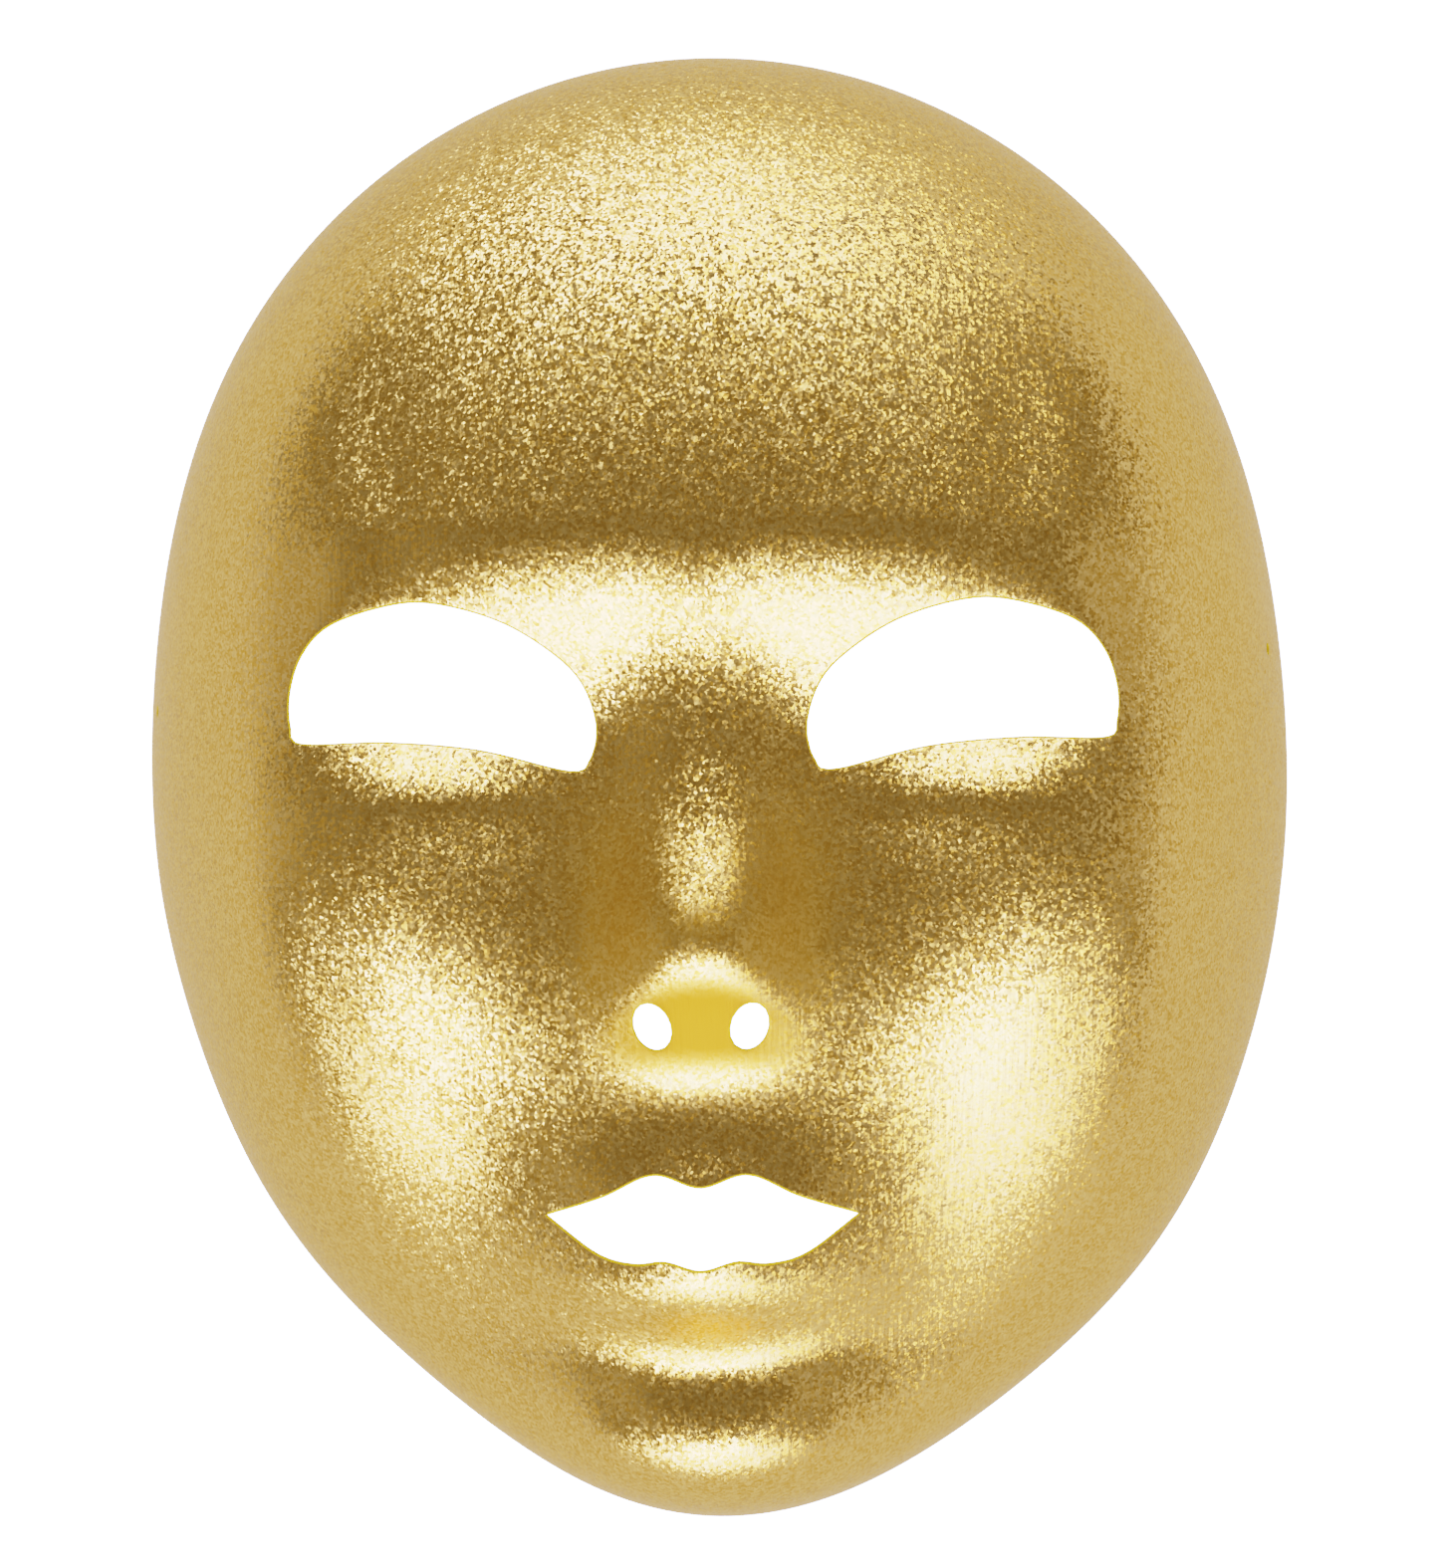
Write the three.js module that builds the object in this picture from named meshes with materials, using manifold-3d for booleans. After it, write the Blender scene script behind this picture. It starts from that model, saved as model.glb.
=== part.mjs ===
// Fabric costume mask: one sheet of metallic cloth on a stiff backing, pressed over a face form.
// It lies on its flat rim, face up. Millimetres: +X to the viewer's right, +Y to the forehead, +Z up.
import * as THREE from 'three';
import { mergeVertices } from 'three/addons/utils/BufferGeometryUtils.js';
import Module from 'manifold-3d';

const wasm = await Module();
wasm.setup();

// The rim
const POLE_Y = -15; // the rim's radii are taken from this point, on the nose
const RADIUS_STEP = 15; // degrees between two of them
// From under the chin up to the top of the forehead, the same on both sides
const RIM_RADII = [93.8, 89.1, 86.4, 83.6, 82.1, 82.3, 83.6, 87.9, 95.3, 104.9, 114.9, 121, 123.7];
const RIM_WAVES = 8; // the smooth outline through the radii has this many waves
const RIM_SKEW = { low: 1.8, high: 0.5 }; // the lower half is fuller on the +X side, the upper on the -X side
const WALL = 1.2;

// The dome: its height, and how square its section is towards the forehead, the sides and the chin
const CROWN = 71;
const DOME = {
  flat: { up: 5, side: 4.5, down: 2.8 },
  steep: { up: 2.25, side: 1.3, down: 3 },
  jaw: { angle: 43, spread: 20, flat: 3.7, steep: 1.37, share: 0.8 },
};
const LEAN = 0.05; // the face is this much lower at the forehead than at the chin, for each millimetre

// The features, as rises and falls of the dome. A span is a start and an end: along the face it is
// counted downwards from y = 0, and across the face it is counted both ways from the middle.
const MIDLINE_DRIFT = { x: -0.9, span: [0, 60] }; // the nose and mouth sit a little to -X
const BROW = { y: 37.5, dip: 1.7, dipHalf: 6, depth: 11.7, span: [-1, 33] };
const CHEEK = { socket: 5.4, fall: 10.6, span: [-2, 74], starts: [-14.5, 3.5] };
const CHEEK_INNER = { x: 12, wider: 3, span: [50, 80] };
const CHEEK_OUTER = { x: 54, atMouth: -8, mouthSpan: [32, 56], atJaw: 6, jawSpan: [60, 84] };
const TEMPLE = [38, 62];
const NOSE = {
  root: 7.7, rootSoft: 7, tip: -18.7, tipSoft: 5, height: 11.2,
  bridge: 2.5, bridgeY: 8, bridgeRun: 10,
  under: 15.7, underRun: 15.2, underPower: 4.3,
  ridgeHalf: 11.2, midHalf: 13.1, midSpan: [-6, 22], wingHalf: 14.4, wingSpan: [20, 33],
  round: 2.4, square: 3.2, squareSpan: [22, 34],
};
const PHILTRUM = { fall: 2.1, span: [30, 56] };
const CHIN_FALL = { fall: 2.2, span: [62, 86] };
// Soft rises and dips, with x counted both ways from the middle
const BUMPS = [
  { name: 'muzzle', x: 0, y: -62, rise: 5.4, wide: 21.8, tall: 12.4 },
  { name: 'upper lip', x: 0, y: -63.4, rise: 2.3, wide: 8.7, tall: 3.4 },
  { name: 'lower lip', x: 0, y: -73.8, rise: 7.4, wide: 16.8, tall: 8.5 },
  { name: 'under the nose', x: 0, y: -35.8, rise: 1.2, wide: 10, tall: 6.9 },
  { name: 'fold', x: 0, y: -79.4, rise: -3.4, wide: 41.6, tall: 7.2 },
  { name: 'chin', x: 0, y: -108.6, rise: 25.7, wide: 30.7, tall: 18.3 },
  { name: 'sides of the chin', x: 26, y: -90.6, rise: -3.5, wide: 7.8, tall: 8.7 },
  { name: 'jaw', x: 34.4, y: -72.7, rise: -5.8, wide: 15.2, tall: 17.9 },
  { name: 'cheeks', x: 37.3, y: -38.8, rise: -1.6, wide: 14.3, tall: 15 },
  { name: 'cheekbones', x: 66.4, y: -16.7, rise: 5.6, wide: 10.9, tall: 26 },
  { name: 'under the eyes', x: 33, y: -2, rise: 1, wide: 12, tall: 7 },
  { name: 'temples', x: 65.5, y: 23.3, rise: -2.4, wide: 14.7, tall: 21.4 },
  { name: 'ends of the brow', x: 45.1, y: 41.6, rise: -0.9, wide: 6.5, tall: 17.9 },
  { name: 'forehead', x: 0, y: 62.1, rise: -0.5, wide: 38.2, tall: 13.4 },
  { name: 'sides of the forehead', x: 43.1, y: 55, rise: -3.6, wide: 23.2, tall: 52.6 },
];

// The openings, seen from above. The eye is drawn for +X and mirrored.
const EYE = [
  [14.8, 8.8], [16.6, 14.6], [20.5, 18.9], [27.8, 23.5], [36.7, 26.2], [43.5, 26.3], [52.6, 23.6],
  [57, 19.4], [58.9, 14], [58.8, 9], [57.1, 6.7], [44.8, 6.8], [31.6, 5.6], [18.7, 2.5], [15.8, 4],
];
const EYE_SHIFT = 0.5; // the eye on the -X side sits this much further out
const MOUTH_Y = -61;
const UPPER_LIP = [[-22.3, 0], [-14, 2.7], [-6.8, 5.8], [0, 4], [6.8, 5.8], [14, 2.7], [22.3, 0]];
const LOWER_LIP = [[22.3, 0], [15, -5.3], [9.6, -6.7], [5.1, -6.3], [0, -7.6], [-5.1, -6.3], [-9.6, -6.7],
  [-15, -5.3], [-22.3, 0]];
const NOSTRIL = { x: 6.9, y: -33.9, wide: 5.5, tall: 6.8, sides: 16 };
const STRAP_HOLES = [
  { side: -1, y: 12.5, z: 13 },
  { side: 1, y: 20.5, z: 15 },
];
const STRAP_HOLE_WIDTH = 1.5;

// How finely the surface is divided
const SPOKES = 72;
const RINGS = 30;
const RING_SPREAD = 0.9; // the rings crowd towards the rim
const NEAR = 0.002; // how far apart two points lie that give the surface's direction
const LINE_PIECES = { eye: 40, lip: 24 };
const PUNCH = { reach: 30, sides: 12 };

const radians = THREE.MathUtils.degToRad;
const square = (v) => v * v;
const bell = (v, width) => Math.exp(-square(v / width));
const ramp = (v, [from, to]) => THREE.MathUtils.smoothstep(v, from, to);
const mix = THREE.MathUtils.lerp;

// A straight line that starts softly at zero, over a stretch k long
const softLine = (v, k) => 0.5 * (v + Math.hypot(v, k));

// The radii as a sum of cosines, so that the outline between them is smooth
function cosineTerms(values) {
  const last = values.length - 1;
  const terms = [];
  for (let k = 0; k <= RIM_WAVES; k += 1) {
    let sum = 0;
    values.forEach((value, i) => {
      const weight = i === 0 || i === last ? 0.5 : 1;
      sum += weight * value * Math.cos(k * radians(RADIUS_STEP) * i);
    });
    terms.push((k === 0 ? 1 : 2) * sum / last);
  }
  return terms;
}
const RIM_TERMS = cosineTerms(RIM_RADII);

// Distance from the pole to the rim. The angle is the usual one, 0 along +X.
function rimRadius(angle) {
  const fromChin = angle + Math.PI / 2;
  const even = RIM_TERMS.reduce((sum, term, k) => sum + term * Math.cos(k * fromChin), 0);
  const sine = Math.sin(angle);
  return even - Math.cos(angle) * sine * (sine < 0 ? RIM_SKEW.low : RIM_SKEW.high);
}

// Height of the bare dome as a share of its crown: 1 on top, 0 at the rim
function dome(x, y) {
  const angle = Math.atan2(y - POLE_Y, x);
  const share = Math.min(1, Math.hypot(x, y - POLE_Y) / rimRadius(angle));
  const sine = Math.sin(angle);
  const end = sine > 0 ? 'up' : 'down';
  const { flat, steep, jaw } = DOME;
  const off = Math.abs(Math.atan2(x, -(y - POLE_Y)));
  const jawShare = jaw.share * bell(off - radians(jaw.angle), radians(jaw.spread));
  const n = mix(mix(flat.side, flat[end], square(sine)), jaw.flat, jawShare);
  const m = mix(mix(steep.side, steep[end], square(sine)), jaw.steep, jawShare);
  return (1 - share ** n) ** (1 / m);
}

// The nose: a ridge that climbs to its tip, turns under, and widens to the wings
function nose(x, y) {
  const length = NOSE.root - NOSE.tip;
  const climb = softLine(NOSE.root - y, NOSE.rootSoft) - softLine(NOSE.tip - y, NOSE.tipSoft);
  const crest = NOSE.bridge * bell(y - NOSE.bridgeY, NOSE.bridgeRun) + NOSE.height * climb / length;
  const past = Math.max(0, -y - NOSE.under) / NOSE.underRun;
  const half = NOSE.ridgeHalf
    + (NOSE.midHalf - NOSE.ridgeHalf) * ramp(-y, NOSE.midSpan)
    + (NOSE.wingHalf - NOSE.midHalf) * ramp(-y, NOSE.wingSpan);
  const power = mix(NOSE.round, NOSE.square, ramp(-y, NOSE.squareSpan));
  return crest / (1 + past ** NOSE.underPower) * Math.exp(-(Math.abs(x / half) ** power));
}

// How far the face rises above or falls below the bare dome
function relief(x, y) {
  const away = Math.abs(x);
  const belowBrow = BROW.y - BROW.dip * bell(x, BROW.dipHalf) - y;
  const socket = ramp(belowBrow, BROW.span);
  const middle = -BROW.depth * socket - PHILTRUM.fall * ramp(-y, PHILTRUM.span);
  const side = -CHEEK.socket * socket - CHEEK.fall * ramp(-y, CHEEK.span);
  // The cheek takes over from the middle of the face below the eyes, and the temple beside them
  const inner = CHEEK_INNER.x + CHEEK_INNER.wider * ramp(-y, CHEEK_INNER.span);
  const outer = CHEEK_OUTER.x
    + CHEEK_OUTER.atMouth * ramp(-y, CHEEK_OUTER.mouthSpan)
    + CHEEK_OUTER.atJaw * ramp(-y, CHEEK_OUTER.jawSpan);
  const cheek = ramp(away, [inner, outer]) * ramp(-y, CHEEK.starts);
  const share = 1 - (1 - ramp(away, TEMPLE)) * (1 - cheek);
  const bumps = BUMPS.reduce((sum, b) => sum + b.rise * bell(away - b.x, b.wide) * bell(y - b.y, b.tall), 0);
  const chinFall = CHIN_FALL.fall * ramp(-y, CHIN_FALL.span);
  return mix(middle, side, share) - chinFall + bumps + nose(x, y) - LEAN * y;
}

const driftAt = (y) => MIDLINE_DRIFT.x * ramp(-y, MIDLINE_DRIFT.span);

// Height of the outer surface above the rim's plane
function height(x, y) {
  return (CROWN + relief(x - driftAt(y), y)) * dome(x, y);
}

// A point of the outer surface, by its share of the way from the pole to the rim
function outerPoint(angle, share) {
  const radius = share * rimRadius(angle);
  const x = radius * Math.cos(angle);
  const y = POLE_Y + radius * Math.sin(angle);
  return new THREE.Vector3(x, y, share >= 1 ? 0 : height(x, y));
}

// The direction that the outer surface faces. At the rim the wall is upright.
function outerNormal(angle, share) {
  const inward = outerPoint(angle, share - NEAR);
  const along = outerPoint(angle, Math.min(1, share + NEAR)).sub(inward);
  const around = outerPoint(angle + NEAR, share).sub(outerPoint(angle - NEAR, share));
  const normal = along.cross(around).normalize();
  return share >= 1 ? normal.setZ(0).normalize() : normal;
}

// The uncut shell: outer surface, inner surface one wall further in, and the flat rim between them
function shellGeometry() {
  const positions = [];
  const index = [];
  const rows = [];
  for (let j = 1; j <= RINGS; j += 1) {
    rows.push(Math.sin((j / RINGS) * Math.PI / 2) ** RING_SPREAD);
  }
  const addPoint = (p) => positions.push(p.x, p.y, p.z) / 3 - 1;
  const addSurface = (depth) => {
    const pole = outerPoint(0, 0).sub(new THREE.Vector3(0, 0, depth));
    const start = addPoint(pole);
    rows.forEach((share) => {
      for (let i = 0; i < SPOKES; i += 1) {
        const angle = (i / SPOKES) * 2 * Math.PI;
        addPoint(outerPoint(angle, share).addScaledVector(outerNormal(angle, share), -depth));
      }
    });
    return start;
  };
  const at = (start, ring, spoke) => start + 1 + ring * SPOKES + (spoke % SPOKES);
  const addQuad = (a, b, c, d) => index.push(a, b, c, a, c, d);
  const outer = addSurface(0);
  const inner = addSurface(WALL);
  for (let i = 0; i < SPOKES; i += 1) {
    index.push(outer, at(outer, 0, i), at(outer, 0, i + 1));
    index.push(inner, at(inner, 0, i + 1), at(inner, 0, i));
    for (let j = 0; j < RINGS - 1; j += 1) {
      addQuad(at(outer, j, i), at(outer, j + 1, i), at(outer, j + 1, i + 1), at(outer, j, i + 1));
      addQuad(at(inner, j, i), at(inner, j, i + 1), at(inner, j + 1, i + 1), at(inner, j + 1, i));
    }
    const last = RINGS - 1;
    addQuad(at(outer, last, i), at(inner, last, i), at(inner, last, i + 1), at(outer, last, i + 1));
  }
  const geometry = new THREE.BufferGeometry();
  geometry.setAttribute('position', new THREE.Float32BufferAttribute(positions, 3));
  geometry.setIndex(index);
  return geometry;
}

function toSolid(geometry) {
  geometry.deleteAttribute('normal');
  geometry.deleteAttribute('uv');
  const merged = mergeVertices(geometry, 1e-4);
  return new wasm.Manifold(new wasm.Mesh({
    numProp: 3,
    vertProperties: new Float32Array(merged.attributes.position.array),
    triVerts: new Uint32Array(merged.index.array),
  }));
}

function toGeometry(solid) {
  const mesh = solid.getMesh();
  const geometry = new THREE.BufferGeometry();
  geometry.setAttribute('position', new THREE.BufferAttribute(mesh.vertProperties, 3));
  geometry.setIndex(new THREE.BufferAttribute(mesh.triVerts, 1));
  return geometry;
}

// A smooth line through points, as many pieces long as asked
function smoothLine(points, pieces) {
  const curve = new THREE.SplineCurve(points.map(([x, y]) => new THREE.Vector2(x, y)));
  return curve.getPoints(pieces);
}

// An upright cutter with the given outline, long enough to pass through the face
function cutter(outline) {
  const shape = new THREE.Shape(outline);
  return toSolid(new THREE.ExtrudeGeometry(shape, { depth: CROWN * 2, bevelEnabled: false, steps: 1 }));
}

function eyeCutter(side) {
  const shift = side < 0 ? EYE_SHIFT : 0;
  const closed = [...EYE, EYE[0]].map(([x, y]) => [side * (x + shift), y]);
  const line = smoothLine(closed, LINE_PIECES.eye);
  line.pop();
  return cutter(line);
}

function mouthCutter() {
  const place = ([x, y]) => [x + MIDLINE_DRIFT.x, y + MOUTH_Y];
  const upper = smoothLine(UPPER_LIP.map(place), LINE_PIECES.lip);
  const lower = smoothLine(LOWER_LIP.map(place), LINE_PIECES.lip);
  return cutter([...upper.slice(0, -1), ...lower.slice(0, -1)]);
}

function nostrilCutter(side) {
  const centre = side * NOSTRIL.x + driftAt(NOSTRIL.y);
  const oval = new THREE.EllipseCurve(centre, NOSTRIL.y, NOSTRIL.wide / 2, NOSTRIL.tall / 2);
  return cutter(oval.getPoints(NOSTRIL.sides).slice(0, -1));
}

// A round punch that goes sideways through the wall
function strapHoleCutter({ side, y, z }) {
  const radius = STRAP_HOLE_WIDTH / 2;
  const punch = new THREE.CylinderGeometry(radius, radius, PUNCH.reach, PUNCH.sides);
  punch.rotateZ(Math.PI / 2);
  punch.translate(side * rimRadius(0), y, z);
  return toSolid(punch);
}

function maskShell() {
  const cutters = [
    eyeCutter(1),
    eyeCutter(-1),
    mouthCutter(),
    nostrilCutter(1),
    nostrilCutter(-1),
    ...STRAP_HOLES.map(strapHoleCutter),
  ];
  const solid = cutters.reduce((rest, tool) => rest.subtract(tool), toSolid(shellGeometry()));
  const geometry = toGeometry(solid);
  geometry.computeVertexNormals();
  const material = new THREE.MeshStandardMaterial({ color: 0xc9a64e, metalness: 0.9, roughness: 0.4 });
  const mesh = new THREE.Mesh(geometry, material);
  mesh.name = 'mask_shell';
  // The origin is the middle of the rim's box, on the surface that the mask lies on
  geometry.computeBoundingBox();
  const middle = geometry.boundingBox.getCenter(new THREE.Vector3());
  mesh.position.set(-middle.x, -middle.y, 0);
  return mesh;
}

const mask = new THREE.Group();
mask.add(maskShell());

export default mask;
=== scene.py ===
"""Fabric costume mask: metallic cloth on a stiff backing, pressed over a face form, lying on its rim.

The face is a height above the rim's plane, worked out in millimetres from named sizes. Its surface is a
fine grid that runs from a pole on the nose out to the rim, and the eye, nostril, mouth and strap openings
are cut into that grid along smooth outlines. +X is the viewer's right, +Y the forehead, +Z up.
"""

import logging
from dataclasses import dataclass, field
from enum import Enum
from functools import partial

import bmesh
import bpy
import numpy as np
from mathutils import Matrix, Vector


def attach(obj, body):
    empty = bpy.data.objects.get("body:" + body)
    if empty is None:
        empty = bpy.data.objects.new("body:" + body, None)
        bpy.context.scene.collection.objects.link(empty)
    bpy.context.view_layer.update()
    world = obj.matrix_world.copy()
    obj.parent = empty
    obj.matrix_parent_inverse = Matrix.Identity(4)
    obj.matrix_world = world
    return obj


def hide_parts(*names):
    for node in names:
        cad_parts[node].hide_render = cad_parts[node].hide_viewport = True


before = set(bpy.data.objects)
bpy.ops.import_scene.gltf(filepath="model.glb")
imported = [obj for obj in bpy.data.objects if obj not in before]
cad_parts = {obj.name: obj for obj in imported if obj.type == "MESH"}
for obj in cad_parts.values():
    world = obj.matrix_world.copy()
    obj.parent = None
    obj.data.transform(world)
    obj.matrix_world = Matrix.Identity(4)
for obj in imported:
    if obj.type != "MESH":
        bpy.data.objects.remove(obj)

Array = np.ndarray
Pair = tuple[float, float]
LOG = logging.getLogger("mask")
MM = 0.001
FAR = 1000.0
ON_LINE = 1e-6
NODE = "mask_shell"


def bell(value: Array, width: float) -> Array:
    """A bell curve: 1 at zero, 1/e at one width."""
    return np.exp(-((value / width) ** 2))


def ramp(value: Array, start: float, end: float) -> Array:
    """A smooth step from 0 at start to 1 at end."""
    t = np.clip((value - start) / (end - start), 0.0, 1.0)
    return t * t * (3.0 - 2.0 * t)


def soft_line(value: Array, reach: float) -> Array:
    """A straight line that starts softly at zero, over a stretch as long as reach."""
    return 0.5 * (value + np.hypot(value, reach))


def mix(low: Array, high: Array, share: Array) -> Array:
    """The value that lies the given share of the way from low to high."""
    return low + (high - low) * share


def spline(before: Array, here: Array, after: Array, beyond: Array, pieces: int) -> Array:
    """Smooth stretches from each point of here to the one after it: a Catmull-Rom spline.

    Args:
        before: for each stretch, the point before it, one row each.
        here: the points that the stretches start from.
        after: the points that they end at.
        beyond: the points after those.
        pieces: how many straight pieces stand for a stretch.

    Returns:
        The line's points, one row each, without the last stretch's end.
    """
    t = np.linspace(0.0, 1.0, pieces, endpoint=False)[None, :, None]
    before, here, after, beyond = (rows[:, None, :] for rows in (before, here, after, beyond))
    line = 0.5 * (
        2.0 * here
        + (after - before) * t
        + (2.0 * before - 5.0 * here + 4.0 * after - beyond) * t**2
        + (3.0 * here - before - 3.0 * after + beyond) * t**3
    )
    return line.reshape(-1, here.shape[-1])


def smooth_closed(points: Array, pieces: int) -> Array:
    """A closed smooth line through points, with so many straight pieces between two of them."""
    return spline(*(np.roll(points, back, axis=0) for back in (1, 0, -1, -2)), pieces)


def smooth_open(points: Array, pieces: int) -> Array:
    """A smooth line from the first of points to the last, without its end point."""
    ends = np.vstack([2.0 * points[0] - points[1], points, 2.0 * points[-1] - points[-2]])
    return spline(*(ends[first : first + len(points) - 1] for first in range(4)), pieces)


@dataclass(frozen=True)
class Rim:
    """The outline that the mask lies on, as a distance from the pole in each direction.

    The radii run from straight down, at the chin, round to straight up, one every so many degrees.
    """

    pole_y: float = -15.0
    radii: tuple[float, ...] = (
        93.8, 89.1, 86.4, 83.6, 82.1, 82.3, 83.6, 87.9, 95.3, 104.9, 114.9, 121.0, 123.7,
    )
    step_degrees: float = 15.0
    waves: int = 8
    skew_low: float = 1.8
    skew_high: float = 0.5

    def radius(self, angle: Array) -> Array:
        """Distance from the pole to the rim: a sum of cosines through the radii, and fuller low on +X.

        Args:
            angle: the direction from the pole, in radians from +X.

        Returns:
            The distance in each direction.
        """
        last = len(self.radii) - 1
        order = np.arange(self.waves + 1)
        weight = np.ones(last + 1)
        weight[[0, last]] = 0.5
        turns = np.radians(self.step_degrees) * np.arange(last + 1)
        terms = (np.cos(np.outer(order, turns)) * weight * np.array(self.radii)).sum(axis=1) / last
        terms[1:] *= 2.0
        angle = np.asarray(angle, float)
        even = (terms * np.cos((angle[..., None] + np.pi / 2) * order)).sum(axis=-1)
        sine = np.sin(angle)
        return even - np.cos(angle) * sine * np.where(sine < 0.0, self.skew_low, self.skew_high)


@dataclass(frozen=True)
class Dome:
    """The bare form under the features: how flat its top and how steep its wall, each way from the pole."""

    crown: float = 71.0
    flat_up: float = 5.0
    flat_side: float = 4.5
    flat_down: float = 2.8
    steep_up: float = 2.25
    steep_side: float = 1.3
    steep_down: float = 3.0
    jaw_angle: float = 43.0
    jaw_spread: float = 20.0
    jaw_flat: float = 3.7
    jaw_steep: float = 1.37
    jaw_share: float = 0.8

    def share(self, rim: Rim, x: Array, y: Array) -> Array:
        """Height as a share of the crown: (1 - t^n)^(1/m), with t the share of the way to the rim.

        Args:
            rim: the outline that the dome stands on.
            x: the points' places across the face.
            y: the points' places up the face.

        Returns:
            The share at each point.
        """
        angle = np.arctan2(y - rim.pole_y, x)
        t = np.minimum(1.0, np.hypot(x, y - rim.pole_y) / rim.radius(angle))
        sine = np.sin(angle)
        upper = sine > 0
        off = np.abs(np.arctan2(x, rim.pole_y - y))
        jaw = self.jaw_share * bell(off - np.radians(self.jaw_angle), np.radians(self.jaw_spread))
        n = mix(self.flat_side, np.where(upper, self.flat_up, self.flat_down), sine**2)
        m = mix(self.steep_side, np.where(upper, self.steep_up, self.steep_down), sine**2)
        n = mix(n, self.jaw_flat, jaw)
        m = mix(m, self.jaw_steep, jaw)
        return (1.0 - t**n) ** (1.0 / m)


@dataclass(frozen=True)
class Nose:
    """The nose: a ridge that climbs to its tip, turns under, and widens to the wings.

    Spans run down the face, from the line that y is counted from.
    """

    root: float = 7.7
    root_soft: float = 7.0
    tip: float = -18.7
    tip_soft: float = 5.0
    height: float = 11.2
    bridge: float = 2.5
    bridge_y: float = 8.0
    bridge_run: float = 10.0
    under: float = -15.7
    under_run: float = 15.2
    under_power: float = 4.3
    ridge_half: float = 11.2
    mid_half: float = 13.1
    mid_span: Pair = (-6.0, 22.0)
    wing_half: float = 14.4
    wing_span: Pair = (20.0, 33.0)
    ridge_power: float = 2.4
    wing_power_gain: float = 0.8
    power_span: Pair = (22.0, 34.0)

    def rise(self, x: Array, y: Array) -> Array:
        """Height over the face: the crest's height times exp(-|x / half width|^power).

        Args:
            x: the points' places across the face.
            y: the points' places up the face.

        Returns:
            The height at each point.
        """
        climb = soft_line(self.root - y, self.root_soft) - soft_line(self.tip - y, self.tip_soft)
        crest = self.bridge * bell(y - self.bridge_y, self.bridge_run)
        crest = crest + self.height * climb / (self.root - self.tip)
        past = np.maximum(0.0, self.under - y) / self.under_run
        half = self.ridge_half + (self.mid_half - self.ridge_half) * ramp(-y, *self.mid_span)
        half = half + (self.wing_half - self.mid_half) * ramp(-y, *self.wing_span)
        power = self.ridge_power + self.wing_power_gain * ramp(-y, *self.power_span)
        return crest / (1.0 + past**self.under_power) * np.exp(-(np.abs(x / half) ** power))


@dataclass(frozen=True)
class Bump:
    """A soft rise on the middle of the face or on both sides of it, or a dip where rise is negative.

    For the cloth, it is how much tighter or looser the cloth lies there.
    """

    name: str
    y: float
    rise: float
    wide: float
    tall: float
    x: float = 0.0

    def at(self, x: Array, y: Array) -> Array:
        """Height of the bump: one bell curve across and one along the face."""
        return self.rise * bell(np.abs(x) - self.x, self.wide) * bell(y - self.y, self.tall)


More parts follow.
